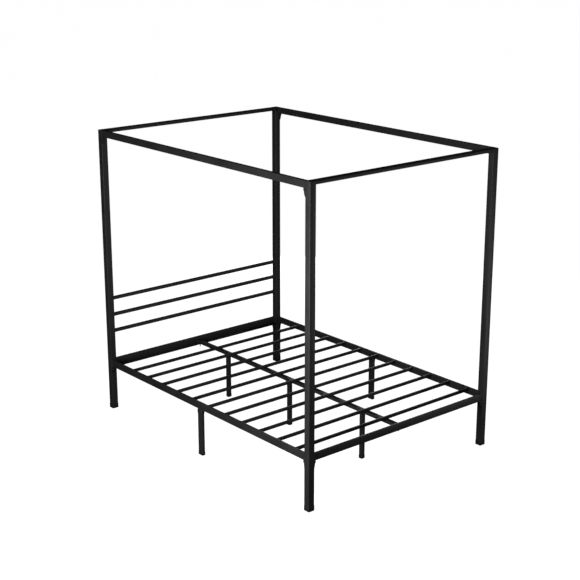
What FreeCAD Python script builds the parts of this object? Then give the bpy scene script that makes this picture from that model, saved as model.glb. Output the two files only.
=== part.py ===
import FreeCAD, Part
import os

Vector = FreeCAD.Vector

# Four poster canopy bed of black powder-coated steel tube, for a 54 x 75 in mattress.
# Millimetres. X runs across the bed, +Y towards the headboard, +Z up.
# The origin is on the floor under the middle of the bed. Left is -X, right is +X.

# driving dimensions
bed_width = 1414.0            # over the posts
bed_length = 1976.0           # over the posts
bed_height = 1820.0           # floor to the top of the canopy
post_side = 40.0
thin_side = 20.0              # short side of the canopy tube, side of the headboard tube
tube_wall = 1.5
thin_wall = 1.2
tube_corner = 2.0             # rounding of a tube's long edges
post_corner = 2.5
slat_corner = 1.5
least_inner_corner = 0.4
rail_thickness = 13.0
rail_height = 45.0
rail_top = 334.5
rail_inset = 6.0              # rail face behind the outer face of the post
ledge_depth = 40.0
ledge_thickness = 2.5
ledge_gap = 1.0               # clear of the end plates
plate_thickness = 3.0

# slats
slat_count = 11
slat_pitch = 157.46
first_slat_y = 721.5
slat_width = 10.0
slat_height = 20.0
slat_entry = 8.0              # depth of a slat's end inside the side rail
sleeve_wall = 1.0
sleeve_lip = 1.5
sleeve_rim = 1.0              # how far the lip stands beyond the sleeve
socket_depth = 2.1            # through the wall and the rounding behind it

# legs
centre_leg_side = 25.0
centre_leg_places = (("head", 636.0), ("middle", 10.0), ("foot", -652.0))
side_leg_x = 695.0
side_leg_y = -3.5
socket_height = 21.0
socket_wall = 1.5
socket_roof = 2.0
centre_rail_width = 30.0
centre_rail_gap = 3.0         # from its tube's end to the end rail
saddle_wall = 2.0
saddle_length = 40.0
saddle_ear = 12.0

# headboard
headboard_bar_heights = (("top", 739.0), ("middle", 630.4), ("bottom", 521.6))

# plastic caps
cap_wall = 1.5
cap_floor = 3.0
post_cap_height = 28.0
leg_cap_height = 20.0
top_cap_head = 2.0
top_cap_stem = 12.0
top_cap_wall = 2.0
plug_stem = 9.0
plug_head = 2.0
cap_corner = 3.0
fit_gap = 0.2

# bolted rail joints: an end plate hangs below the rail, with a stepped gusset beside its bolts,
# drawn as pairs of reach from the post and height above the rail's underside
plate_width = 20.0
plate_drop = 44.0
bolt_drops = (14.0, 33.0)     # below the rail
bolt_offset = 9.0             # from the rail's outer face
gusset_thickness = 2.5
gusset_steps = ((14.5, 0.0), (14.5, -11.0), (9.0, -19.0), (9.0, -28.0), (4.0, -38.0), (4.0, -44.0))

# canopy end rail joints
spigot_reach = 60.0
spigot_gap = 0.6
spigot_wall = 2.0
spigot_screw_reach = 30.0

# fasteners
bolt_diameter = 6.0
bolt_hole = 6.5
bolt_head_diameter = 10.5
bolt_head_height = 4.0
bolt_reach = 16.0
bolt_key = 4.0                # across the flats of the hexagon socket
head_rounding = 0.45          # of a head's height, both its rounding and the floor of its socket
washer_diameter = 12.0
washer_thickness = 1.2
nut_across_flats = 10.0
nut_height = 5.0
flange_diameter = 15.0        # flanged nuts under the centre rail's bolts
flange_thickness = 1.5
flange_nut_height = 8.0
centre_bolt_tail = 22.0       # shank below the ledge
screw_diameter = 5.0
screw_hole = 5.4
screw_head_diameter = 9.0
screw_head_height = 2.6
screw_reach = 9.0
screw_key = 3.0

# worked out
post_x = (bed_width - post_side) / 2
post_y = (bed_length - post_side) / 2
post_inner_x = bed_width / 2 - post_side
post_inner_y = bed_length / 2 - post_side
canopy_bottom = bed_height - post_side
rail_bottom = rail_top - rail_height
rail_outer_x = bed_width / 2 - rail_inset
rail_outer_y = bed_length / 2 - rail_inset
rail_inner_x = rail_outer_x - rail_thickness
rail_inner_y = rail_outer_y - rail_thickness
rail_centre_x = rail_outer_x - rail_thickness / 2
rail_centre_y = rail_outer_y - rail_thickness / 2
rail_bolt_x = rail_outer_x - bolt_offset
rail_bolt_y = rail_outer_y - bolt_offset
canopy_bolt_x = bed_width / 2 - bolt_offset
plate_overhang = (plate_width - rail_thickness) / 2
ledge_top = rail_bottom + ledge_thickness
slat_top = rail_top - tube_wall - sleeve_wall
slat_bottom = slat_top - slat_height
centre_rail_height = slat_bottom - ledge_top
centre_rail_end = rail_inner_y - centre_rail_gap
centre_bolt_y = rail_inner_y - ledge_depth / 2
slat_places = [first_slat_y - slat_pitch * i for i in range(slat_count)]
corners = [
    ("foot", "left", -1, -1),
    ("foot", "right", 1, -1),
    ("head", "left", -1, 1),
    ("head", "right", 1, 1),
]
axes = {"x": Vector(1, 0, 0), "y": Vector(0, 1, 0), "z": Vector(0, 0, 1)}


def save(name, solids):
    # one STEP for one node, a single solid or a group of separate solids
    shape = solids[0] if len(solids) == 1 else Part.makeCompound(solids)
    shape.exportStep("parts/" + name + ".step")
    print(name, len(solids), round(shape.Volume, 1), shape.isValid())


def block(low, high):
    # box between two corners given in any order
    near = Vector(*[min(a, b) for a, b in zip(low, high)])
    far = Vector(*[max(a, b) for a, b in zip(low, high)])
    size = far.sub(near)
    return Part.makeBox(size.x, size.y, size.z, near)


def bar(low, high, axis, radius):
    # box with its four long edges rounded
    solid = block(low, high)
    along = axes[axis]
    edges = []
    for edge in solid.Edges:
        direction = edge.Vertexes[1].Point.sub(edge.Vertexes[0].Point).normalize()
        if abs(direction.dot(along)) > 0.99:
            edges.append(edge)
    return solid.makeFillet(radius, edges)


def tube(low, high, axis, wall, radius=tube_corner):
    # rectangular steel tube, open at both ends
    inner_low = []
    inner_high = []
    for name, a, b in zip("xyz", low, high):
        step = 0.0 if name == axis else wall
        inner_low.append(min(a, b) + step)
        inner_high.append(max(a, b) - step)
    inside = bar(inner_low, inner_high, axis, max(radius - wall, least_inner_corner))
    return bar(low, high, axis, radius).cut(inside)


def cap(low, high, height, wall_low, wall_high):
    # slip-on cap with a floor, its outer edges softened
    body = bar(low, (high[0], high[1], height), "z", cap_corner)
    pocket_low = (wall_low[0], wall_low[1], cap_floor)
    pocket_high = (wall_high[0], wall_high[1], height)
    return body.cut(bar(pocket_low, pocket_high, "z", tube_corner))


def rod(diameter, start, direction, length):
    return Part.makeCylinder(diameter / 2, length, start, direction)


def hexagon(across_flats, start, direction, length):
    # prism with six sides along a direction
    radius = across_flats / 3 ** 0.5
    points = [FreeCAD.Rotation(axes["z"], 60 * i).multVec(Vector(radius, 0, 0)) for i in range(7)]
    prism = Part.Face(Part.makePolygon(points)).extrude(Vector(0, 0, length))
    prism.Placement = FreeCAD.Placement(start, FreeCAD.Rotation(axes["z"], direction))
    return prism


def button_bolt(seat, direction, diameter, reach, head_diameter, head_height, key):
    # the head stands on the seat, the shank goes along the direction
    back = direction * -1
    head = rod(head_diameter, seat, back, head_height)
    crown = [edge for edge in head.Edges if edge.CenterOfMass.sub(seat).Length > head_height * 0.9]
    head = head.makeFillet(head_height * head_rounding, crown)
    bolt = head.fuse(rod(diameter, seat, direction, reach)).removeSplitter()
    return bolt.cut(hexagon(key, seat + back * (head_height * head_rounding), back, head_height))


def m6_bolt(seat, direction, reach):
    return button_bolt(seat, direction, bolt_diameter, reach, bolt_head_diameter, bolt_head_height, bolt_key)


def m5_screw(seat, direction):
    return button_bolt(seat, direction, screw_diameter, screw_reach, screw_head_diameter, screw_head_height,
                       screw_key)


def washer(seat, direction):
    ring = rod(washer_diameter, seat, direction * -1, washer_thickness)
    return ring.cut(rod(bolt_hole, seat, direction * -1, washer_thickness))


def nut(seat, direction):
    # weld nut whose face is on the seat
    body = hexagon(nut_across_flats, seat, direction, nut_height)
    return body.cut(rod(bolt_diameter, seat, direction, nut_height))


def rail_bolt_places():
    # seat on the post's face, direction into the post, for every bolt of the four bed rails
    places = []
    for end, side, sx, sy in corners:
        for drop in bolt_drops:
            z = rail_bottom - drop
            places.append((Vector(sx * rail_bolt_x, sy * post_inner_y, z), Vector(0, sy, 0)))
            places.append((Vector(sx * post_inner_x, sy * rail_bolt_y, z), Vector(sx, 0, 0)))
    return places


def canopy_bolt_places():
    places = []
    for end, side, sx, sy in corners:
        for drop in bolt_drops:
            z = canopy_bottom - drop
            places.append((Vector(sx * canopy_bolt_x, sy * post_inner_y, z), Vector(0, sy, 0)))
    return places


def spigot_screw_places():
    places = []
    for end, side, sx, sy in corners:
        x = sx * (post_inner_x - spigot_screw_reach)
        places.append((Vector(x, sy * post_y, bed_height - thin_side), Vector(0, 0, 1)))
    return places


def make_posts():
    # square posts, open tubes with a hole for every bolt
    places = rail_bolt_places() + canopy_bolt_places()
    holes = [rod(bolt_hole, seat, way, tube_wall) for seat, way in places]
    for end, side, sx, sy in corners:
        low = (sx * bed_width / 2, sy * bed_length / 2, cap_floor)
        high = (sx * post_inner_x, sy * post_inner_y, bed_height - top_cap_head)
        post = tube(low, high, "z", tube_wall, post_corner)
        near = [hole for hole in holes if post.BoundBox.intersect(hole.BoundBox)]
        save("post_" + end + "_" + side, [post.cut(near)])


def make_post_nuts():
    # weld nuts behind the post walls
    nuts = [nut(seat + way * tube_wall, way) for seat, way in rail_bolt_places() + canopy_bolt_places()]
    save("post_nuts", nuts)


def make_post_caps():
    for end, side, sx, sy in corners:
        low = (sx * (post_x - post_side / 2 - cap_wall), sy * (post_y - post_side / 2 - cap_wall), 0)
        high = (sx * (post_x + post_side / 2 + cap_wall), sy * (post_y + post_side / 2 + cap_wall))
        wall_low = (low[0] + sx * cap_wall, low[1] + sy * cap_wall)
        wall_high = (high[0] - sx * cap_wall, high[1] - sy * cap_wall)
        save("post_foot_cap_" + end + "_" + side, [cap(low, high, post_cap_height, wall_low, wall_high)])


def make_top_caps():
    # plugs that close the post tops, a flat head over a hollow stem
    plugs = []
    reach = post_side / 2 - tube_wall - fit_gap
    bottom = bed_height - top_cap_head - top_cap_stem
    for end, side, sx, sy in corners:
        x = sx * post_x
        y = sy * post_y
        half = post_side / 2
        head_low = (x - half, y - half, bed_height - top_cap_head)
        head = bar(head_low, (x + half, y + half, bed_height), "z", post_corner)
        stem_high = (x + reach, y + reach, bed_height - top_cap_head)
        stem = tube((x - reach, y - reach, bottom), stem_high, "z", top_cap_wall)
        plugs.append(head.fuse(stem).removeSplitter())
    save("post_top_caps", plugs)


def make_canopy_side_rails():
    # tube on edge, its face level with the posts' faces
    for side, sx in (("left", -1), ("right", 1)):
        outer = sx * bed_width / 2
        end = post_inner_y - plate_thickness
        rail = tube((outer, -end, canopy_bottom), (outer - sx * thin_side, end, bed_height), "y", tube_wall)
        save("canopy_rail_" + side, [rail])


def make_canopy_end_rails():
    # tube laid flat, with a screw hole in its underside near each end
    for end, sy in (("foot", -1), ("head", 1)):
        low = (-post_inner_x, sy * bed_length / 2, bed_height - thin_side)
        high = (post_inner_x, sy * post_inner_y, bed_height)
        rail = tube(low, high, "x", tube_wall)
        places = [place for place in spigot_screw_places() if place[0].y * sy > 0]
        holes = [rod(screw_hole, seat, way, tube_wall) for seat, way in places]
        save("canopy_rail_" + end, [rail.cut(holes)])


def sheet(profile, corner, away, across, start, thickness):
    # a profile of reach from the post and height above the rail's underside, drawn out across the rail
    points = []
    for reach, height in profile:
        points.append(corner + away * reach + across * start + Vector(0, 0, height))
    return Part.Face(Part.makePolygon(points + points[:1])).extrude(across * thickness)


def end_plate(corner, away, across, overhang, height, holes):
    # the corner is on the post's face, at the outer and lower edge of the rail's end
    flat = ((0, -plate_drop), (plate_thickness, -plate_drop), (plate_thickness, height), (0, height))
    fin = ((plate_thickness, 0),) + gusset_steps + ((plate_thickness, -plate_drop),)
    plate = sheet(flat, corner, away, across, -overhang, plate_width)
    gusset = sheet(fin, corner, away, across, 0, gusset_thickness)
    return plate.fuse(gusset).removeSplitter().cut(holes)


def plate_holes(places):
    return [rod(bolt_hole, seat - way * plate_thickness, way, plate_thickness) for seat, way in places]


def make_canopy_end_plates():
    # welded on the ends of the canopy side rails
    holes = plate_holes(canopy_bolt_places())
    plates = []
    for end, side, sx, sy in corners:
        corner = Vector(sx * bed_width / 2, sy * post_inner_y, canopy_bottom)
        plates.append(end_plate(corner, Vector(0, -sy, 0), Vector(-sx, 0, 0), 0, post_side, holes))
    save("canopy_end_plates", plates)


def make_canopy_spigots():
    # stubs welded to the posts, which the canopy end rails slide over
    stubs = []
    half = post_side / 2 - tube_wall - spigot_gap
    low = bed_height - thin_side + tube_wall
    high = bed_height - tube_wall - spigot_gap
    for end, side, sx, sy in corners:
        y = sy * post_y
        end_x = sx * (post_inner_x - spigot_reach)
        stub = tube((sx * post_inner_x, y - half, low), (end_x, y + half, high), "x", spigot_wall)
        holes = [rod(screw_diameter, seat, way, thin_side / 2) for seat, way in spigot_screw_places()
                 if seat.x * sx > 0 and seat.y * sy > 0]
        stubs.append(stub.cut(holes))
    save("canopy_spigots", stubs)


def make_side_rails():
    # closed tubes with a socket for every slat in their inner walls
    for side, sx in (("left", -1), ("right", 1)):
        end = post_inner_y - plate_thickness
        high = (sx * rail_inner_x, end, rail_top)
        rail = tube((sx * rail_outer_x, -end, rail_bottom), high, "y", tube_wall)
        half = slat_width / 2 + sleeve_wall
        bottom = slat_bottom - sleeve_wall
        top = slat_top + sleeve_wall
        front = sx * rail_inner_x
        back = sx * (rail_inner_x + socket_depth)
        sockets = [block((front, y - half, bottom), (back, y + half, top)) for y in slat_places]
        save("side_rail_" + side, [rail.cut(sockets)])


def make_end_rails():
    for end, sy in (("foot", -1), ("head", 1)):
        reach = post_inner_x - plate_thickness
        low = (-reach, sy * rail_outer_y, rail_bottom)
        high = (reach, sy * rail_inner_y, rail_top)
        save(end + "_rail", [tube(low, high, "x", tube_wall)])


def make_rail_end_plates():
    # welded on the ends of the four bed rails, hanging below them for the bolts
    holes = plate_holes(rail_bolt_places())
    plates = []
    for end, side, sx, sy in corners:
        along_x = Vector(-sx, 0, 0)
        along_y = Vector(0, -sy, 0)
        side_corner = Vector(sx * rail_outer_x, sy * post_inner_y, rail_bottom)
        end_corner = Vector(sx * post_inner_x, sy * rail_outer_y, rail_bottom)
        plates.append(end_plate(side_corner, along_y, along_x, plate_overhang, rail_height, holes))
        plates.append(end_plate(end_corner, along_x, along_y, plate_overhang, rail_height, holes))
    save("rail_end_plates", plates)


def make_bolts_and_washers():
    washers = []
    for name, places in (("rail_bolts", rail_bolt_places()), ("canopy_bolts", canopy_bolt_places())):
        bolts = []
        for seat, way in places:
            plate_face = seat - way * plate_thickness
            washers.append(washer(plate_face, way))
            bolts.append(m6_bolt(plate_face - way * washer_thickness, way, bolt_reach))
        save(name, bolts)
    save("bolt_washers", washers)


def make_ledges():
    # strips welded along the inside of the head and foot rails, which carry the centre rail
    for end, sy in (("foot", -1), ("head", 1)):
        reach = post_inner_x - plate_thickness - ledge_gap
        strip = block((-reach, sy * rail_inner_y, rail_bottom),
                      (reach, sy * (rail_inner_y - ledge_depth), ledge_top))
        hole = rod(bolt_hole, Vector(0, sy * centre_bolt_y, rail_bottom), axes["z"], ledge_thickness)
        save(end + "_rail_ledge", [strip.cut(hole)])


def make_headboard_bars():
    half = thin_side / 2
    for name, z in headboard_bar_heights:
        low = (-post_inner_x, post_y - half, z - half)
        high = (post_inner_x, post_y + half, z + half)
        save("headboard_bar_" + name, [tube(low, high, "x", thin_wall)])


def make_slats():
    half = slat_width / 2
    end = rail_inner_x + slat_entry
    for number, y in enumerate(slat_places, 1):
        slat = tube((-end, y - half, slat_bottom), (end, y + half, slat_top), "x", thin_wall, slat_corner)
        save("slat_%02d" % number, [slat])


def make_slat_sleeves():
    # nylon sleeves on the slat ends, with a lip that rests on the side rail
    sleeves = []
    half = slat_width / 2 + sleeve_wall
    low = slat_bottom - sleeve_wall
    high = slat_top + sleeve_wall
    for sx in (-1, 1):
        lip = sx * (rail_inner_x - sleeve_lip)
        stop = sx * (rail_inner_x + slat_entry + sleeve_wall)
        for y in slat_places:
            sleeve = block((lip, y - half, low), (stop, y + half, high))
            rim_low = (lip, y - half - sleeve_rim, low - sleeve_rim)
            rim = block(rim_low, (sx * rail_inner_x, y + half + sleeve_rim, high + sleeve_rim))
            hollow_low = (lip, y - slat_width / 2, slat_bottom)
            hollow_high = (sx * (rail_inner_x + slat_entry), y + slat_width / 2, slat_top)
            hollow = bar(hollow_low, hollow_high, "x", slat_corner)
            sleeves.append(sleeve.fuse(rim).removeSplitter().cut(hollow))
    save("slat_end_sleeves", sleeves)


def make_centre_rail():
    half = centre_rail_width / 2
    rail = tube((-half, -centre_rail_end, ledge_top), (half, centre_rail_end, slat_bottom), "y", tube_wall)
    holes = []
    for sy in (-1, 1):
        place = Vector(0, sy * centre_bolt_y, ledge_top)
        holes.append(rod(bolt_hole, place, axes["z"], centre_rail_height))
    for name, y in centre_leg_places:
        z = ledge_top + saddle_ear / 2
        holes.append(rod(screw_diameter, Vector(-half, y, z), axes["x"], centre_rail_width))
    save("centre_rail", [rail.cut(holes)])


def make_centre_rail_plugs():
    plugs = []
    half = centre_rail_width / 2
    inside = half - tube_wall - fit_gap
    for sy in (-1, 1):
        tip = sy * (centre_rail_end + plug_head)
        head = block((-half, sy * centre_rail_end, ledge_top), (half, tip, slat_bottom))
        low = (-inside, sy * centre_rail_end, ledge_top + tube_wall + fit_gap)
        high = (inside, sy * (centre_rail_end - plug_stem), slat_bottom - tube_wall - fit_gap)
        plugs.append(head.fuse(block(low, high)).removeSplitter())
    save("centre_rail_plugs", plugs)


def make_centre_rail_bolts():
    # one bolt down through each end of the centre rail and its ledge, with a flanged nut underneath
    bolts = []
    nuts = []
    down = Vector(0, 0, -1)
    reach = centre_rail_height + ledge_thickness + centre_bolt_tail
    for sy in (-1, 1):
        seat = Vector(0, sy * centre_bolt_y, slat_bottom)
        bolts.append(m6_bolt(seat, down, reach))
        under = Vector(0, sy * centre_bolt_y, rail_bottom)
        flange = rod(flange_diameter, under, down, flange_thickness)
        body = flange.fuse(hexagon(nut_across_flats, under, down, flange_nut_height)).removeSplitter()
        nuts.append(body.cut(rod(bolt_diameter, under, down, flange_nut_height)))
    save("centre_rail_bolts", bolts)
    save("centre_rail_nuts", nuts)


def make_centre_legs():
    half = centre_leg_side / 2
    wall = half + cap_wall
    top = ledge_top - plate_thickness
    for name, y in centre_leg_places:
        leg = tube((-half, y - half, cap_floor), (half, y + half, top), "z", tube_wall)
        save("centre_leg_" + name, [leg])
        low = (-wall, y - wall, 0)
        foot = cap(low, (wall, y + wall), leg_cap_height, (-half, y - half), (half, y + half))
        save("centre_leg_cap_" + name, [foot])


def make_centre_leg_saddles():
    # channels welded on the leg tops, with ears up both sides of the centre rail
    saddles = []
    half = centre_rail_width / 2
    ear = half + saddle_wall
    bottom = ledge_top - plate_thickness
    top = ledge_top + saddle_ear
    for name, y in centre_leg_places:
        low = y - saddle_length / 2
        high = y + saddle_length / 2
        channel = block((-ear, low, bottom), (ear, high, top))
        channel = channel.cut(block((-half, low, ledge_top), (half, high, top)))
        hole = rod(screw_hole, Vector(-ear, y, ledge_top + saddle_ear / 2), axes["x"], 2 * ear)
        saddles.append(channel.cut(hole))
    save("centre_leg_saddles", saddles)


def make_side_legs():
    half_x = thin_side / 2
    half_y = post_side / 2
    top = rail_bottom - socket_roof
    for side, sx in (("left", -1), ("right", 1)):
        x = sx * side_leg_x
        low = (x - half_x, side_leg_y - half_y, cap_floor)
        high = (x + half_x, side_leg_y + half_y, top)
        leg = tube(low, high, "z", tube_wall)
        z = rail_bottom - socket_height / 2
        hole = rod(screw_diameter, Vector(x, side_leg_y, z), Vector(-sx, 0, 0), half_x)
        save("side_leg_" + side, [leg.cut(hole)])
        low = (x - half_x - cap_wall, side_leg_y - half_y - cap_wall, 0)
        high = (x + half_x + cap_wall, side_leg_y + half_y + cap_wall)
        wall_low = (x - half_x, side_leg_y - half_y)
        wall_high = (x + half_x, side_leg_y + half_y)
        save("side_leg_cap_" + side, [cap(low, high, leg_cap_height, wall_low, wall_high)])


def make_side_leg_sockets():
    # pockets welded under the side rails, which take the tops of the side legs
    sockets = []
    half_x = thin_side / 2
    half_y = post_side / 2
    low = rail_bottom - socket_height
    for sx in (-1, 1):
        x = sx * side_leg_x
        shell_low = (x - half_x - socket_wall, side_leg_y - half_y - socket_wall, low)
        shell_high = (x + half_x + socket_wall, side_leg_y + half_y + socket_wall, rail_bottom)
        pocket_low = (x - half_x, side_leg_y - half_y, low)
        pocket_high = (x + half_x, side_leg_y + half_y, rail_bottom - socket_roof)
        shell = bar(shell_low, shell_high, "z", cap_corner)
        pocket = bar(pocket_low, pocket_high, "z", tube_corner)
        z = rail_bottom - socket_height / 2
        hole = rod(screw_hole, Vector(x - sx * half_x / 2, side_leg_y, z), Vector(-sx, 0, 0), half_x)
        sockets.append(shell.cut(pocket).cut(hole))
    save("side_leg_sockets", sockets)


def make_leg_screws():
    # screws through the saddle ears into the centre rail, and through the pockets into the side legs
    screws = []
    ear = centre_rail_width / 2 + saddle_wall
    for name, y in centre_leg_places:
        for sx in (-1, 1):
            seat = Vector(sx * ear, y, ledge_top + saddle_ear / 2)
            screws.append(m5_screw(seat, Vector(-sx, 0, 0)))
    for sx in (-1, 1):
        x = sx * (side_leg_x - thin_side / 2 - socket_wall)
        screws.append(m5_screw(Vector(x, side_leg_y, rail_bottom - socket_height / 2), Vector(sx, 0, 0)))
    save("leg_screws", screws)


def make_spigot_screws():
    screws = [m5_screw(seat, way) for seat, way in spigot_screw_places()]
    save("canopy_spigot_screws", screws)


os.makedirs("parts", exist_ok=True)
make_posts()
make_post_nuts()
make_post_caps()
make_top_caps()
make_canopy_side_rails()
make_canopy_end_rails()
make_canopy_end_plates()
make_canopy_spigots()
make_spigot_screws()
make_side_rails()
make_end_rails()
make_rail_end_plates()
make_bolts_and_washers()
make_ledges()
make_headboard_bars()
make_slats()
make_slat_sleeves()
make_centre_rail()
make_centre_rail_plugs()
make_centre_rail_bolts()
make_centre_legs()
make_centre_leg_saddles()
make_side_legs()
make_side_leg_sockets()
make_leg_screws()
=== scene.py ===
import bpy
import math
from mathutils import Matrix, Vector


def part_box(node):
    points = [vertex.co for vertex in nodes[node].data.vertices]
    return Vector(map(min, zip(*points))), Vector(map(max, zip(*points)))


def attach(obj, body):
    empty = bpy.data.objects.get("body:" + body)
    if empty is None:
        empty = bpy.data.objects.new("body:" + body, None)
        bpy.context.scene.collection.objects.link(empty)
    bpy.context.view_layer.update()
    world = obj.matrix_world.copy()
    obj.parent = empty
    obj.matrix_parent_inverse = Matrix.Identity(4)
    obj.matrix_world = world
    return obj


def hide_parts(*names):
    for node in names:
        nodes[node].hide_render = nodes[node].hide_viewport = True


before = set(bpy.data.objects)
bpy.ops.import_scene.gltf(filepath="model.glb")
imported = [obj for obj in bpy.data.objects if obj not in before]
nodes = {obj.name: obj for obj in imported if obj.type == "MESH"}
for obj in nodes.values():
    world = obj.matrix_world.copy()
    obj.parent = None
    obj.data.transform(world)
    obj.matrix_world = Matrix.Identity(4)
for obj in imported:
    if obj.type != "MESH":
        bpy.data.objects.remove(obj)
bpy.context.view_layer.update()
mm = 0.001
smoothAngle = math.radians(40)
parallel = 0.99            # cosine above which two directions count as the same
hair = 0.1 * mm            # distance below which two places count as the same
overshoot = 1 * mm         # how far a cutter stands past the face it opens
postNodes = ("post_foot_left", "post_foot_right", "post_head_left", "post_head_right")
slatNodes = sorted(n for n in nodes if n.startswith(("slat_0", "slat_1")))
centreLegNodes = ("centre_leg_head", "centre_leg_middle", "centre_leg_foot")
print("frame loaded,", len(nodes), "parts")


# ways of working that every piece shares

def clearSelection():
    if bpy.context.object and bpy.context.object.mode != "OBJECT":
        bpy.ops.object.mode_set(mode="OBJECT")
    bpy.ops.object.select_all(action="DESELECT")


def select(*pieces):
    clearSelection()
    for piece in pieces:
        piece.select_set(True)
    bpy.context.view_layer.objects.active = pieces[0]


def addBlock(name, low, high):
    # a cube at its size and place, with its object back at the origin
    clearSelection()
    low, high = Vector(low), Vector(high)
    bpy.ops.mesh.primitive_cube_add(size=1, location=(low + high) / 2, scale=[abs(v) for v in high - low])
    bpy.ops.object.transform_apply(location=True, rotation=True, scale=True)
    bpy.context.object.name = name
    return bpy.context.object


def startPicking(piece, kind):
    # nothing picked yet, and back in object mode, where edges or faces can be marked
    select(piece)
    bpy.ops.object.mode_set(mode="EDIT")
    bpy.ops.mesh.select_mode(type=kind)
    bpy.ops.mesh.select_all(action="DESELECT")
    bpy.ops.object.mode_set(mode="OBJECT")


def pickEdges(piece, test):
    # edit mode, with only the edges whose two ends pass the test
    startPicking(piece, "EDGE")
    points = piece.data.vertices
    for edge in piece.data.edges:
        edge.select = bool(test(points[edge.vertices[0]].co, points[edge.vertices[1]].co))
    bpy.ops.object.mode_set(mode="EDIT")


def pickFaces(piece, test):
    # edit mode, with only the faces that pass the test
    startPicking(piece, "FACE")
    for face in piece.data.polygons:
        face.select = bool(test(face))
    bpy.ops.object.mode_set(mode="EDIT")


def leaveEdit():
    bpy.ops.object.mode_set(mode="OBJECT")


def along(axis):
    # test for an edge that runs along an axis, 0 for X, 1 for Y, 2 for Z
    return lambda a, b: abs((b - a)[axis]) > parallel * (b - a).length


def roundLongEdges(piece, axis, radius, segments=5):
    pickEdges(piece, along(axis))
    bpy.ops.mesh.bevel(offset=radius, segments=segments, profile=0.5, affect="EDGES")
    leaveEdit()


def applyModifier(piece, kind, **settings):
    select(piece)
    modifier = piece.modifiers.new(kind.title(), kind)
    for key, value in settings.items():
        setattr(modifier, key, value)
    bpy.ops.object.modifier_apply(modifier=modifier.name)


def softenEdges(piece, width, segments=2, angle=50):
    # breaks the sharp edges, so that they catch a thin line of light
    applyModifier(piece, "BEVEL", width=width, segments=segments, limit_method="ANGLE",
                  angle_limit=math.radians(angle))


def cutAway(piece, *cutters):
    for cutter in cutters:
        applyModifier(piece, "BOOLEAN", operation="DIFFERENCE", solver="EXACT", object=cutter)
        bpy.data.objects.remove(cutter)


def joinPieces(name, pieces):
    select(*pieces)
    if len(pieces) > 1:
        bpy.ops.object.join()
    pieces[0].name = name
    return pieces[0]


def makeTwin(piece):
    # a copy with its own mesh
    twin = piece.copy()
    twin.data = piece.data.copy()
    bpy.context.collection.objects.link(twin)
    return twin


def copyPiece(piece, offset):
    # a copy that is moved, with its object back at the origin
    twin = makeTwin(piece)
    twin.location = offset
    select(twin)
    bpy.ops.object.transform_apply(location=True, rotation=True, scale=True)
    return twin


def mirrorPiece(piece, signs):
    # a mirrored copy, its faces turned back outwards
    twin = makeTwin(piece)
    twin.scale = signs
    select(twin)
    bpy.ops.object.transform_apply(location=True, rotation=True, scale=True)
    if math.prod(signs) < 0:
        bpy.ops.object.mode_set(mode="EDIT")
        bpy.ops.mesh.select_all(action="SELECT")
        bpy.ops.mesh.normals_make_consistent(inside=False)
        bpy.ops.object.mode_set(mode="OBJECT")
    return twin


def dress(piece, finish, slotName, *cadNodes):
    # gives a finished piece its material and its body, and hides the CAD parts that it stands for
    piece.data.materials.clear()
    piece.data.materials.append(finish)
    select(piece)
    bpy.ops.object.shade_smooth_by_angle(angle=smoothAngle)
    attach(piece, "root")
    if cadNodes:
        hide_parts(*cadNodes)


# materials

def toLinear(hexColour):
    # sRGB hex to the linear colour that the shader wants
    parts = [int(hexColour[i:i + 2], 16) / 255 for i in (1, 3, 5)]
    return [v / 12.92 if v <= 0.04045 else ((v + 0.055) / 1.055) ** 2.4 for v in parts] + [1.0]


def addNode(tree, kind, settings=None, links=None):
    # one node: settings go on the node or on its input sockets, links name the sockets that feed it
    node = tree.nodes.new(kind)
    for key, value in (settings or {}).items():
        if isinstance(key, int) or key in node.inputs:
            node.inputs[key].default_value = value
        else:
            setattr(node, key, value)
    for key, source in (links or {}).items():
        tree.links.new(source, node.inputs[key])
    return node


def newFinish(name):
    finish = bpy.data.materials.new(name)
    finish.use_nodes = True
    tree = finish.node_tree
    tree.nodes.clear()
    place = addNode(tree, "ShaderNodeTexCoord").outputs["Object"]
    return finish, tree, place


toneRange = (0.3, 0.7)     # the part of a pattern over which its two tones blend


def mixTones(tree, factor, dark, light):
    tones = addNode(tree, "ShaderNodeValToRGB", links={"Fac": factor})
    tones.color_ramp.elements[0].color = toLinear(dark)
    tones.color_ramp.elements[1].color = toLinear(light)
    tones.color_ramp.elements[0].position = toneRange[0]
    tones.color_ramp.elements[1].position = toneRange[1]
    return tones.outputs["Color"]


def spread(tree, value, low, high):
    # carries a 0 to 1 pattern to a range
    carried = addNode(tree, "ShaderNodeMapRange", {"To Min": low, "To Max": high}, {"Value": value})
    return carried.outputs["Result"]


powder = {
    "dark": "#1b1b1c", "light": "#242426",
    "roughness": (0.44, 0.56),
    "peel": 2.2 * mm,          # orange peel, the spacing of its waves
    "peelDepth": 0.035 * mm,
    "grain": 0.7 * mm,         # the grit of the coat, drawn about three times as coarse as it is
    "grainDepth": 0.012 * mm,
    "cloud": 180 * mm,         # slow changes in film thickness along a tube
    "specular": 0.4,
}


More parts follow.
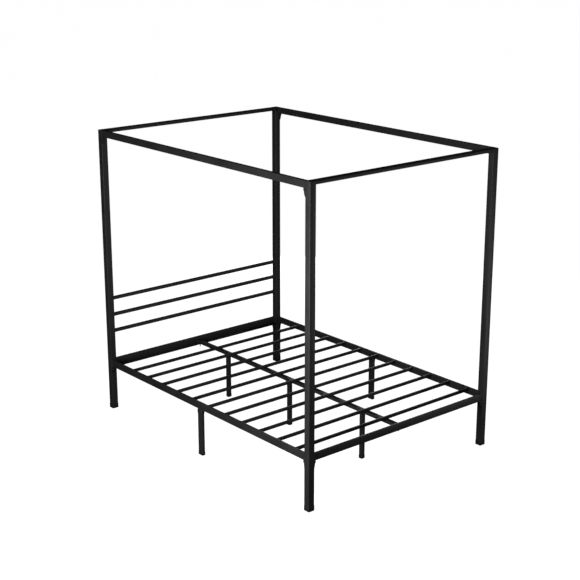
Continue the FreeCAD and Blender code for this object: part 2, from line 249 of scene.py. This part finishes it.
def makePowderCoat():
    # polyester powder coat, satin, baked on steel tube: fine orange peel breaks up the light along each face,
    # and the film runs a shade lighter and duller where it is thin
    finish, tree, place = newFinish("satinPowderCoat")
    cloud = addNode(tree, "ShaderNodeTexNoise", {"Scale": 1 / powder["cloud"], "Detail": 3.0},
                    {"Vector": place})
    peel = addNode(tree, "ShaderNodeTexNoise", {"Scale": 1 / powder["peel"], "Detail": 1.0},
                   {"Vector": place})
    grain = addNode(tree, "ShaderNodeTexNoise", {"Scale": 1 / powder["grain"], "Detail": 2.0},
                    {"Vector": place})
    lowBump = addNode(tree, "ShaderNodeBump", {"Strength": 1.0, "Distance": powder["peelDepth"]},
                      {"Height": peel.outputs["Fac"]})
    bump = addNode(tree, "ShaderNodeBump", {"Strength": 1.0, "Distance": powder["grainDepth"]},
                   {"Height": grain.outputs["Fac"], "Normal": lowBump.outputs["Normal"]})
    colour = mixTones(tree, cloud.outputs["Fac"], powder["dark"], powder["light"])
    roughness = spread(tree, cloud.outputs["Fac"], *powder["roughness"])
    shader = addNode(tree, "ShaderNodeBsdfPrincipled", {"IOR": 1.5, "Specular IOR Level": powder["specular"]},
                     {"Base Color": colour, "Roughness": roughness, "Normal": bump.outputs["Normal"]})
    addNode(tree, "ShaderNodeOutputMaterial", links={"Surface": shader.outputs["BSDF"]})
    return finish


moulded = {
    "dark": "#161617", "light": "#1d1d1e",
    "roughness": (0.52, 0.68),
    "spark": 1.1 * mm,         # spark-eroded mould texture
    "sparkDepth": 0.03 * mm,
    "flow": 24 * mm,
}


def makeMouldedPlastic():
    # low-density polyethylene, injection moulded in a spark-eroded tool, which leaves a fine even stipple
    # and a waxy dull face
    finish, tree, place = newFinish("mouldedPolyethylene")
    flow = addNode(tree, "ShaderNodeTexNoise", {"Scale": 1 / moulded["flow"], "Detail": 2.0},
                   {"Vector": place})
    spark = addNode(tree, "ShaderNodeTexVoronoi", {"Scale": 1 / moulded["spark"]}, {"Vector": place})
    bump = addNode(tree, "ShaderNodeBump", {"Strength": 1.0, "Distance": moulded["sparkDepth"]},
                   {"Height": spark.outputs["Distance"]})
    colour = mixTones(tree, flow.outputs["Fac"], moulded["dark"], moulded["light"])
    roughness = spread(tree, flow.outputs["Fac"], *moulded["roughness"])
    shader = addNode(tree, "ShaderNodeBsdfPrincipled", {"IOR": 1.51, "Specular IOR Level": 0.4},
                     {"Base Color": colour, "Roughness": roughness, "Normal": bump.outputs["Normal"]})
    addNode(tree, "ShaderNodeOutputMaterial", links={"Surface": shader.outputs["BSDF"]})
    return finish


sleeveNylon = {
    "dark": "#131314", "light": "#19191a",
    "roughness": (0.38, 0.5),
    "flow": 9 * mm,
    "skin": 0.9 * mm,
    "skinDepth": 0.015 * mm,
}


def makeNylon():
    # nylon 6, injection moulded and polished smooth: a harder, closer sheen than the feet
    finish, tree, place = newFinish("mouldedNylon")
    flow = addNode(tree, "ShaderNodeTexNoise", {"Scale": 1 / sleeveNylon["flow"], "Detail": 3.0},
                   {"Vector": place})
    skin = addNode(tree, "ShaderNodeTexNoise", {"Scale": 1 / sleeveNylon["skin"]}, {"Vector": place})
    bump = addNode(tree, "ShaderNodeBump", {"Strength": 1.0, "Distance": sleeveNylon["skinDepth"]},
                   {"Height": skin.outputs["Fac"]})
    colour = mixTones(tree, flow.outputs["Fac"], sleeveNylon["dark"], sleeveNylon["light"])
    roughness = spread(tree, flow.outputs["Fac"], *sleeveNylon["roughness"])
    shader = addNode(tree, "ShaderNodeBsdfPrincipled", {"IOR": 1.53},
                     {"Base Color": colour, "Roughness": roughness, "Normal": bump.outputs["Normal"]})
    addNode(tree, "ShaderNodeOutputMaterial", links={"Surface": shader.outputs["BSDF"]})
    return finish


blackBolt = {
    "dark": "#2b2b2d", "light": "#3c3b3c",
    "roughness": (0.3, 0.48),
    "blotch": 3 * mm,
    "forge": 0.4 * mm,
    "forgeDepth": 0.008 * mm,
}


def makeBlackOxide():
    # alloy steel, cold headed and black oxided: dark metal with an oily, slightly mottled shine
    finish, tree, place = newFinish("blackOxideSteel")
    blotch = addNode(tree, "ShaderNodeTexNoise", {"Scale": 1 / blackBolt["blotch"], "Detail": 4.0},
                     {"Vector": place})
    forge = addNode(tree, "ShaderNodeTexNoise", {"Scale": 1 / blackBolt["forge"], "Detail": 2.0},
                    {"Vector": place})
    bump = addNode(tree, "ShaderNodeBump", {"Strength": 1.0, "Distance": blackBolt["forgeDepth"]},
                   {"Height": forge.outputs["Fac"]})
    colour = mixTones(tree, blotch.outputs["Fac"], blackBolt["dark"], blackBolt["light"])
    roughness = spread(tree, blotch.outputs["Fac"], *blackBolt["roughness"])
    shader = addNode(tree, "ShaderNodeBsdfPrincipled", {"Metallic": 1.0},
                     {"Base Color": colour, "Roughness": roughness, "Normal": bump.outputs["Normal"]})
    addNode(tree, "ShaderNodeOutputMaterial", links={"Surface": shader.outputs["BSDF"]})
    return finish


weldNut = {
    "dark": "#8f8d89", "light": "#b4b1ab",
    "roughness": (0.35, 0.5),
    "turning": 10 * mm,        # the wave texture puts about three marks in this length, coarser than real ones
}


def makePlainSteel():
    # mild steel, hot forged and left bare: grey, with faint turning marks
    finish, tree, place = newFinish("bareMildSteel")
    turning = addNode(tree, "ShaderNodeTexWave", {"Scale": 1 / weldNut["turning"], "Distortion": 1.5},
                      {"Vector": place})
    colour = mixTones(tree, turning.outputs["Fac"], weldNut["dark"], weldNut["light"])
    roughness = spread(tree, turning.outputs["Fac"], *weldNut["roughness"])
    shader = addNode(tree, "ShaderNodeBsdfPrincipled", {"Metallic": 1.0},
                     {"Base Color": colour, "Roughness": roughness})
    addNode(tree, "ShaderNodeOutputMaterial", links={"Surface": shader.outputs["BSDF"]})
    return finish


powderCoat = makePowderCoat()
plastic = makeMouldedPlastic()
nylon = makeNylon()
blackOxide = makeBlackOxide()
plainSteel = makePlainSteel()
print("materials made")


# steel tube, the stock of nearly every part

tubing = {
    "wall": 1.5 * mm,
    "thinWall": 1.2 * mm,      # headboard bars and slats
    "postCorner": 2.6 * mm,    # outside corner radius
    "railCorner": 2.2 * mm,
    "slatCorner": 1.6 * mm,
    "endBreak": 0.3 * mm,      # deburred edge at a cut end
}


def steelTube(node, axis, corner, wall):
    # a block the size of the part, its long edges rounded, its ends opened, then given its wall
    low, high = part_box(node)
    piece = addBlock(node + "_tube", low, high)
    roundLongEdges(piece, axis, corner)
    pickFaces(piece, lambda face: abs(face.normal[axis]) > parallel)
    bpy.ops.mesh.delete(type="FACE")
    leaveEdit()
    applyModifier(piece, "SOLIDIFY", thickness=wall, offset=-1, use_even_offset=True, use_rim=True)
    softenEdges(piece, tubing["endBreak"], segments=1, angle=60)
    return piece


def makePosts():
    for node in postNodes:
        dress(steelTube(node, 2, tubing["postCorner"], tubing["wall"]), powderCoat, "powder_coat", node)
    print("posts made")


def makeRails():
    for node, axis in (("canopy_rail_left", 1), ("canopy_rail_right", 1), ("canopy_rail_foot", 0),
                       ("canopy_rail_head", 0), ("foot_rail", 0), ("head_rail", 0), ("centre_rail", 1)):
        dress(steelTube(node, axis, tubing["railCorner"], tubing["wall"]), powderCoat, "powder_coat", node)
    print("rails made")


def makeBars():
    for node in sorted(n for n in nodes if n.startswith("headboard_bar")):
        dress(steelTube(node, 0, tubing["railCorner"], tubing["thinWall"]), powderCoat, "powder_coat", node)
    print("headboard bars made")


def makeSlats():
    for node in slatNodes:
        dress(steelTube(node, 0, tubing["slatCorner"], tubing["thinWall"]), powderCoat, "powder_coat", node)
    print("slats made")


def makeLegs():
    for node in centreLegNodes + ("side_leg_left", "side_leg_right"):
        dress(steelTube(node, 2, tubing["railCorner"], tubing["wall"]), powderCoat, "powder_coat", node)
    print("legs made")


# side rails, with a socket punched in the inner wall for every slat

socket = {"clearance": 1.0 * mm, "depth": 2.1 * mm}


def makeSideRails():
    for node, sign in (("side_rail_left", -1), ("side_rail_right", 1)):
        rail = steelTube(node, 1, tubing["railCorner"], tubing["wall"])
        low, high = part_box(node)
        face = high.x if sign < 0 else low.x
        cutters = []
        for slat in slatNodes:
            near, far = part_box(slat)
            gap = socket["clearance"]
            cutters.append(addBlock("punch", (face - sign * overshoot, near.y - gap, near.z - gap),
                                    (face + sign * socket["depth"], far.y + gap, far.z + gap)))
        cutAway(rail, joinPieces("punches", cutters))
        dress(rail, powderCoat, "powder_coat", node)
    print("side rails made")


# nylon sleeves round the slat ends

sleeve = {
    "wall": 1.0 * mm,
    "lip": 1.5 * mm, "lipRise": 1.0 * mm, "lipCorner": 1.6 * mm,
    "entry": 8.0 * mm,
    "edge": 0.35 * mm,
}


def slatSleeve(slat, sign):
    # a lip against the rail and a thin box round the slat's end, bored for the slat
    near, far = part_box(slat)
    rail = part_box("side_rail_right" if sign > 0 else "side_rail_left")
    face = rail[0].x if sign > 0 else rail[1].x
    wall, rise = sleeve["wall"], sleeve["lipRise"]
    rim = addBlock("rim", (face - sign * sleeve["lip"], near.y - wall - rise, near.z - wall - rise),
                   (face, far.y + wall + rise, far.z + wall + rise))
    roundLongEdges(rim, 0, sleeve["lipCorner"], segments=3)
    softenEdges(rim, sleeve["edge"])
    body = addBlock("body", (face - sign * sleeve["lip"] / 2, near.y - wall, near.z - wall),
                    (face + sign * (sleeve["entry"] + wall), far.y + wall, far.z + wall))
    for part in (rim, body):
        cutAway(part, addBlock("bore", (face - sign * (sleeve["lip"] + overshoot), near.y, near.z),
                               (face + sign * sleeve["entry"], far.y, far.z)))
    return joinPieces("sleeve", [rim, body])


def makeSleeves():
    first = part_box(slatNodes[0])[0]
    sleeves = []
    for sign in (-1, 1):
        pattern = slatSleeve(slatNodes[0], sign)
        sleeves.append(pattern)
        for slat in slatNodes[1:]:
            sleeves.append(copyPiece(pattern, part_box(slat)[0] - first))
    dress(joinPieces("slat_sleeves", sleeves), nylon, "nylon", "slat_end_sleeves")
    print("slat sleeves made")


# plastic caps under the posts and legs, and on top of the posts

footCap = {
    "corner": 3.4 * mm, "toe": 1.6 * mm,     # rounding at the corners and at the floor
    "rim": 5.0 * mm, "step": 0.45 * mm,      # the thicker band at the mouth
    "edge": 0.35 * mm,
    "ring": 4.5 * mm, "hollow": 0.8 * mm,    # the glide ring underneath
}


def slipOnCap(node, leg):
    low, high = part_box(node)
    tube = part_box(leg)
    step = footCap["step"]
    band = addBlock("band", (low.x, low.y, high.z - footCap["rim"]), high)
    roundLongEdges(band, 2, footCap["corner"])
    softenEdges(band, footCap["edge"])
    cup = addBlock("cup", (low.x + step, low.y + step, low.z),
                   (high.x - step, high.y - step, high.z - footCap["edge"] * 2))
    roundLongEdges(cup, 2, footCap["corner"])
    pickEdges(cup, lambda a, b: max(a.z, b.z) < low.z + hair)
    bpy.ops.mesh.bevel(offset=footCap["toe"], segments=3, affect="EDGES")
    leaveEdit()
    pickFaces(cup, lambda face: face.normal.z < -parallel)
    bpy.ops.mesh.inset(thickness=footCap["ring"])
    bpy.ops.transform.translate(value=(0, 0, footCap["hollow"]))
    leaveEdit()
    for part in (band, cup):
        mouth = addBlock("mouth", tube[0], (tube[1].x, tube[1].y, high.z + overshoot))
        roundLongEdges(mouth, 2, tubing["railCorner"])
        cutAway(part, mouth)
    return joinPieces(node + "_cup", [band, cup])


def makeFootCaps():
    for node in sorted(n for n in nodes if "_cap_" in n):
        leg = node.replace("foot_cap_", "").replace("leg_cap_", "leg_")
        dress(slipOnCap(node, leg), plastic, "black_plastic", node)
    print("foot caps made")


topCap = {"crown": 0.9 * mm, "stem": 12 * mm, "stemWall": 2.0 * mm, "roof": 0.5 * mm, "gap": 0.2 * mm}


def makeTopCaps():
    plugs = []
    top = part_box("post_top_caps")[1].z
    for node in postNodes:
        low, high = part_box(node)
        head = addBlock("head", (low.x, low.y, high.z), (high.x, high.y, top))
        roundLongEdges(head, 2, tubing["postCorner"])
        pickEdges(head, lambda a, b: min(a.z, b.z) > top - hair)
        bpy.ops.mesh.bevel(offset=topCap["crown"], segments=4, affect="EDGES")
        leaveEdit()
        reach = tubing["wall"] + topCap["gap"]
        stem = addBlock("stem", (low.x + reach, low.y + reach, high.z - topCap["stem"]),
                        (high.x - reach, high.y - reach, high.z))
        inner = reach + topCap["stemWall"]
        cutAway(stem, addBlock("core", (low.x + inner, low.y + inner, high.z - topCap["stem"] - overshoot),
                               (high.x - inner, high.y - inner, high.z - topCap["roof"])))
        plugs.extend([head, stem])
    dress(joinPieces("post_top_plugs", plugs), plastic, "black_plastic", "post_top_caps")
    print("post top caps made")


centrePlug = {"head": 2 * mm, "stem": 9 * mm, "gap": 0.2 * mm, "edge": 0.5 * mm}


def makeCentrePlugs():
    low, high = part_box("centre_rail")
    reach = tubing["wall"] + centrePlug["gap"]
    plugs = []
    for sign, end in ((-1, low.y), (1, high.y)):
        head = addBlock("head", (low.x, end, low.z), (high.x, end + sign * centrePlug["head"], high.z))
        roundLongEdges(head, 1, tubing["railCorner"])
        softenEdges(head, centrePlug["edge"])
        stem = addBlock("stem", (low.x + reach, end - sign * centrePlug["stem"], low.z + reach),
                        (high.x - reach, end, high.z - reach))
        softenEdges(stem, centrePlug["edge"])
        plugs.extend([head, stem])
    dress(joinPieces("centre_rail_end_plugs", plugs), plastic, "black_plastic", "centre_rail_plugs")
    print("centre rail plugs made")


# plates, ledges and channels of cut sheet steel

plate = {
    "width": 20 * mm, "thickness": 3 * mm, "drop": 44 * mm,
    "corner": 3 * mm, "edge": 0.5 * mm,
    "gusset": 2.5 * mm, "gussetEdge": 0.4 * mm,     # thickness of the gusset, and the rounding of its edges
    "steps": ((14.5, 0), (14.5, -11), (9, -19), (9, -28), (4, -38), (4, -44)),     # reach and height in mm
}


def endPlate(corner, away, across, overhang, height):
    # a sheet with its two lower corners rounded, away is the way through its thickness
    low, high = Vector(corner), Vector(corner)
    low[across] -= overhang
    low.z -= plate["drop"]
    high[away] += plate["thickness"]
    high[across] += plate["width"] - overhang
    high.z += height
    sheet = addBlock("plate", low, high)
    pickEdges(sheet, lambda a, b: along(away)(a, b) and max(a.z, b.z) < low.z + hair)
    bpy.ops.mesh.bevel(offset=plate["corner"], segments=4, affect="EDGES")
    leaveEdit()
    softenEdges(sheet, plate["edge"])
    return sheet


def stepGusset(corner, away, across):
    # a sheet along the plate's outer side, cut into bands whose free corners are drawn in to the steps
    low, high = Vector(corner), Vector(corner)
    reach = plate["steps"][0][0] * mm
    low.z -= plate["drop"]
    high[away] += reach
    high[across] += plate["gusset"]
    sheet = addBlock("gusset", low, high)
    pickEdges(sheet, along(2))
    bpy.ops.mesh.subdivide(number_cuts=len(plate["steps"]) - 2)
    leaveEdit()
    for i, (stepReach, stepHeight) in enumerate(plate["steps"]):
        level = high.z - plate["drop"] * i / (len(plate["steps"]) - 1)
        offset = Vector((0, 0, high.z + stepHeight * mm - level))
        offset[away] = stepReach * mm - reach
        pickEdges(sheet, lambda a, b: along(across)(a, b) and abs(a.z - level) < hair
                  and a[away] > high[away] - hair)
        bpy.ops.transform.translate(value=offset)
        leaveEdit()
    softenEdges(sheet, plate["gussetEdge"], angle=20)
    return sheet


def toFourCorners(pattern):
    # the pieces made at the foot left corner, and their mirror images at the other three
    return [pattern] + [mirrorPiece(pattern, signs) for signs in ((-1, 1, 1), (1, -1, 1), (-1, -1, 1))]


def makeRailPlates():
    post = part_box("post_foot_left")
    plates = []
    for node, away, across in (("side_rail_left", 1, 0), ("foot_rail", 0, 1)):
        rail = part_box(node)
        overhang = (plate["width"] - (rail[1] - rail[0])[across]) / 2
        corner = rail[0].copy()
        corner[away] = post[1][away]
        sheet = endPlate(corner, away, across, overhang, (rail[1] - rail[0]).z)
        plates += toFourCorners(joinPieces("plate", [sheet, stepGusset(corner, away, across)]))
    dress(joinPieces("rail_plates", plates), powderCoat, "powder_coat", "rail_end_plates")
    print("rail end plates made")


def makeCanopyPlates():
    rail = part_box("canopy_rail_left")
    corner = Vector((rail[0].x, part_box("post_foot_left")[1].y, rail[0].z))
    sheet = endPlate(corner, 1, 0, 0, (rail[1] - rail[0]).z)
    plates = toFourCorners(joinPieces("plate", [sheet, stepGusset(corner, 1, 0)]))
    dress(joinPieces("canopy_plates", plates), powderCoat, "powder_coat", "canopy_end_plates")
    print("canopy end plates made")


ledge = {"edge": 0.4 * mm}


def makeLedges():
    for node in ("foot_rail_ledge", "head_rail_ledge"):
        strip = addBlock(node + "_strip", *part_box(node))
        softenEdges(strip, ledge["edge"])
        dress(strip, powderCoat, "powder_coat", node)
    print("ledges made")


saddle = {"length": 40 * mm, "corner": 2.2 * mm, "edge": 0.4 * mm}


def makeSaddles():
    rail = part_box("centre_rail")
    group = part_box("centre_leg_saddles")
    channels = []
    for node in centreLegNodes:
        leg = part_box(node)
        middle = (leg[0].y + leg[1].y) / 2
        half = saddle["length"] / 2
        channel = addBlock("channel", (group[0].x, middle - half, leg[1].z),
                           (group[1].x, middle + half, group[1].z))
        pickEdges(channel, lambda a, b: along(1)(a, b) and max(a.z, b.z) < leg[1].z + hair)
        bpy.ops.mesh.bevel(offset=saddle["corner"], segments=4, affect="EDGES")
        leaveEdit()
        cutAway(channel, addBlock("rail", (rail[0].x, middle - half - overshoot, rail[0].z),
                                  (rail[1].x, middle + half + overshoot, rail[1].z)))
        softenEdges(channel, saddle["edge"])
        channels.append(channel)
    dress(joinPieces("centre_leg_channels", channels), powderCoat, "powder_coat", "centre_leg_saddles")
    print("saddles made")


pocket = {"corner": 3 * mm, "edge": 0.4 * mm}


def makePockets():
    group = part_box("side_leg_sockets")
    shells = []
    for node, sign in (("side_leg_left", -1), ("side_leg_right", 1)):
        low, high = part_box(node)
        outer = group[0].x if sign < 0 else group[1].x
        inner = low.x + high.x - outer
        shell = addBlock("shell", (min(outer, inner), group[0].y, group[0].z),
                         (max(outer, inner), group[1].y, group[1].z))
        roundLongEdges(shell, 2, pocket["corner"])
        hollow = addBlock("hollow", (low.x, low.y, group[0].z - overshoot), (high.x, high.y, high.z))
        roundLongEdges(hollow, 2, tubing["railCorner"])
        cutAway(shell, hollow)
        softenEdges(shell, pocket["edge"])
        shells.append(shell)
    dress(joinPieces("side_leg_pockets", shells), powderCoat, "powder_coat", "side_leg_sockets")
    print("side leg pockets made")


# weld beads, rows of overlapping drops in the corners between joined parts

bead = {"radius": 1.7 * mm, "pitch": 2.4 * mm, "stretch": 1.25, "tack": 26 * mm, "tackSpacing": 210 * mm}


def weldRun(start, end):
    start, end = Vector(start), Vector(end)
    line = end - start
    count = max(2, round(line.length / bead["pitch"]) + 1)
    clearSelection()
    bpy.ops.mesh.primitive_uv_sphere_add(segments=8, ring_count=5, radius=bead["radius"], location=start)
    drop = bpy.context.object
    drop.scale = [bead["stretch"] if abs(line[i]) > parallel * line.length else 1.0 for i in range(3)]
    bpy.ops.object.transform_apply(location=True, rotation=True, scale=True)
    applyModifier(drop, "ARRAY", count=count, use_relative_offset=False, use_constant_offset=True,
                  constant_offset_displace=line / (count - 1))
    return drop


def weldLoop(low, high, axis, place, bare=()):
    # runs round a rectangular section at one place along the axis, with some sides left bare
    u, v = [i for i in range(3) if i != axis]
    runs = []
    for side, fixed, moving, value in (("low u", u, v, low[u]), ("high u", u, v, high[u]),
                                       ("low v", v, u, low[v]), ("high v", v, u, high[v])):
        if side in bare:
            continue
        a, b = [0, 0, 0], [0, 0, 0]
        a[axis] = b[axis] = place
        a[fixed] = b[fixed] = value
        margin = bead["radius"] * bead["stretch"] + hair
        a[moving], b[moving] = low[moving] + margin, high[moving] - margin
        runs.append(weldRun(a, b))
    return runs


def makeWelds():
    left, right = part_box("post_foot_left"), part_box("post_foot_right")
    runs = []
    for node in sorted(n for n in nodes if n.startswith("headboard_bar")):
        low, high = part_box(node)
        runs += weldLoop(low, high, 0, left[1].x) + weldLoop(low, high, 0, right[0].x)
    dress(joinPieces("headboard_welds", runs), powderCoat, "powder_coat")
    runs = []
    for node, axis in (("side_rail_left", 1), ("side_rail_right", 1), ("foot_rail", 0), ("head_rail", 0)):
        low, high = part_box(node)
        for end in (low[axis], high[axis]):
            runs += weldLoop(low, high, axis, end, ("high v",))
    dress(joinPieces("rail_welds", runs), powderCoat, "powder_coat")
    runs = []
    for node in ("canopy_rail_left", "canopy_rail_right"):
        low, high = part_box(node)
        outside = "low u" if node.endswith("left") else "high u"
        for end in (low.y, high.y):
            runs += weldLoop(low, high, 1, end, ("high v", outside))
    dress(joinPieces("canopy_welds", runs), powderCoat, "powder_coat")
    runs = []
    for node, sign in (("foot_rail_ledge", 1), ("head_rail_ledge", -1)):
        low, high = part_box(node)
        y = low.y if sign > 0 else high.y
        count = int((high.x - low.x) / bead["tackSpacing"])
        for i in range(count + 1):
            x = low.x + bead["tack"] + (high.x - low.x - 2 * bead["tack"]) * i / count
            runs.append(weldRun((x - bead["tack"] / 2, y, high.z), (x + bead["tack"] / 2, y, high.z)))
    dress(joinPieces("ledge_welds", runs), powderCoat, "powder_coat")
    runs = []
    for node in centreLegNodes:
        low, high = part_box(node)
        runs += weldLoop(low, high, 2, high.z)
    for side in ("left", "right"):
        rail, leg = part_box("side_rail_" + side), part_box("side_leg_" + side)
        for x in (rail[0].x, rail[1].x):
            runs.append(weldRun((x, leg[0].y, rail[0].z), (x, leg[1].y, rail[0].z)))
    dress(joinPieces("leg_welds", runs), powderCoat, "powder_coat")
    print("welds made")


# parts that keep their CAD shape and only take a finish

def finishFasteners():
    kept = {
        "rail_bolts": blackOxide, "canopy_bolts": blackOxide, "bolt_washers": blackOxide,
        "centre_rail_bolts": blackOxide, "centre_rail_nuts": blackOxide, "leg_screws": blackOxide,
        "canopy_spigot_screws": blackOxide, "post_nuts": plainSteel, "canopy_spigots": powderCoat,
    }
    for node, finish in kept.items():
        nodes[node].data.materials.clear()
        nodes[node].data.materials.append(finish)
    print("fasteners finished")


makePosts()
makeRails()
makeSideRails()
makeBars()
makeSlats()
makeSleeves()
makeLegs()
makeFootCaps()
makeTopCaps()
makeCentrePlugs()
makeRailPlates()
makeCanopyPlates()
makeLedges()
makeSaddles()
makePockets()
makeWelds()
finishFasteners()


# floor, light and camera

floorLook = {"size": 160.0, "colour": "#a9a9a7", "glow": 0.98}     # its own glow makes it plain white


def makeFloor():
    # matt white vinyl, smooth, kept from lighting the bed
    finish, tree = newFinish("mattWhiteVinyl")[:2]
    shader = addNode(tree, "ShaderNodeBsdfPrincipled", {
        "Base Color": toLinear(floorLook["colour"]), "Roughness": 0.9, "Specular IOR Level": 0.1,
        "Emission Color": (1, 1, 1, 1), "Emission Strength": floorLook["glow"]})
    addNode(tree, "ShaderNodeOutputMaterial", links={"Surface": shader.outputs["BSDF"]})
    clearSelection()
    bpy.ops.mesh.primitive_plane_add(size=floorLook["size"], location=(0, 0, 0))
    floor = bpy.context.object
    floor.name = "studio_floor"
    floor.data.materials.append(finish)
    floor.visible_diffuse = False
    floor.visible_glossy = False


lamps = {
    "left wall": {"at": (-4.0, 0.5, 2.4), "aim": (0, 0, 0.9), "size": 1.6, "power": 28},
    "near corner": {"at": (-2.35, -1.05, 1.0), "aim": (0, 0, 0.9), "size": 0.9, "power": 56},
    "right front": {"at": (2.5, -3.5, 0.9), "aim": (0, 0, 0.9), "size": 1.2, "power": 6},
    "low right": {"at": (1.7, -2.6, 0.35), "aim": (0.3, 0, 0.5), "size": 0.8, "power": 8},
    "back": {"at": (3.0, 2.6, 0.7), "aim": (0, 0, 0.8), "size": 1.4, "power": 40},     # for views from behind
}

def makeLights():
    for name, lamp in lamps.items():
        light = bpy.data.lights.new(name, "AREA")
        light.shape = "SQUARE"
        light.size = lamp["size"]
        light.energy = lamp["power"]
        holder = bpy.data.objects.new(name, light)
        bpy.context.collection.objects.link(holder)
        holder.location = lamp["at"]
        direction = Vector(lamp["aim"]) - Vector(lamp["at"])
        holder.rotation_euler = direction.to_track_quat("-Z", "Y").to_euler()


worldLook = {"glow": 0.035, "seen": 1.0}     # what it gives the bed, and what the camera sees


def makeWorld():
    # plain white behind the bed, but only a dim glow on it
    world = bpy.data.worlds.new("studio")
    world.use_nodes = True
    tree = world.node_tree
    tree.nodes.clear()
    glow = addNode(tree, "ShaderNodeBackground", {"Color": (1, 1, 1, 1), "Strength": worldLook["glow"]})
    white = addNode(tree, "ShaderNodeBackground", {"Color": (1, 1, 1, 1), "Strength": worldLook["seen"]})
    seen = addNode(tree, "ShaderNodeLightPath").outputs["Is Camera Ray"]
    sky = addNode(tree, "ShaderNodeMixShader", links={0: seen, 1: glow.outputs[0], 2: white.outputs[0]})
    addNode(tree, "ShaderNodeOutputWorld", links={"Surface": sky.outputs["Shader"]})
    bpy.context.scene.world = world


view = {
    "at": (-4.8462, -5.7339, 3.1750),
    "tilt": 73.051, "turn": -40.134,
    "lens": 79.94, "sensor": 36, "shift": 0.0014,
    "farthest": 200,
}


def makeCamera():
    lens = bpy.data.cameras.new("camera")
    lens.lens = view["lens"]
    lens.sensor_width = view["sensor"]
    lens.shift_x = view["shift"]
    lens.clip_end = view["farthest"]
    camera = bpy.data.objects.new("camera", lens)
    bpy.context.collection.objects.link(camera)
    camera.location = view["at"]
    camera.rotation_euler = (math.radians(view["tilt"]), 0, math.radians(view["turn"]))
    bpy.context.scene.camera = camera


makeFloor()
makeLights()
makeWorld()
makeCamera()
bpy.context.scene.view_settings.view_transform = "Standard"
print("floor, lights and camera set")

bpy.context.view_layer.update()
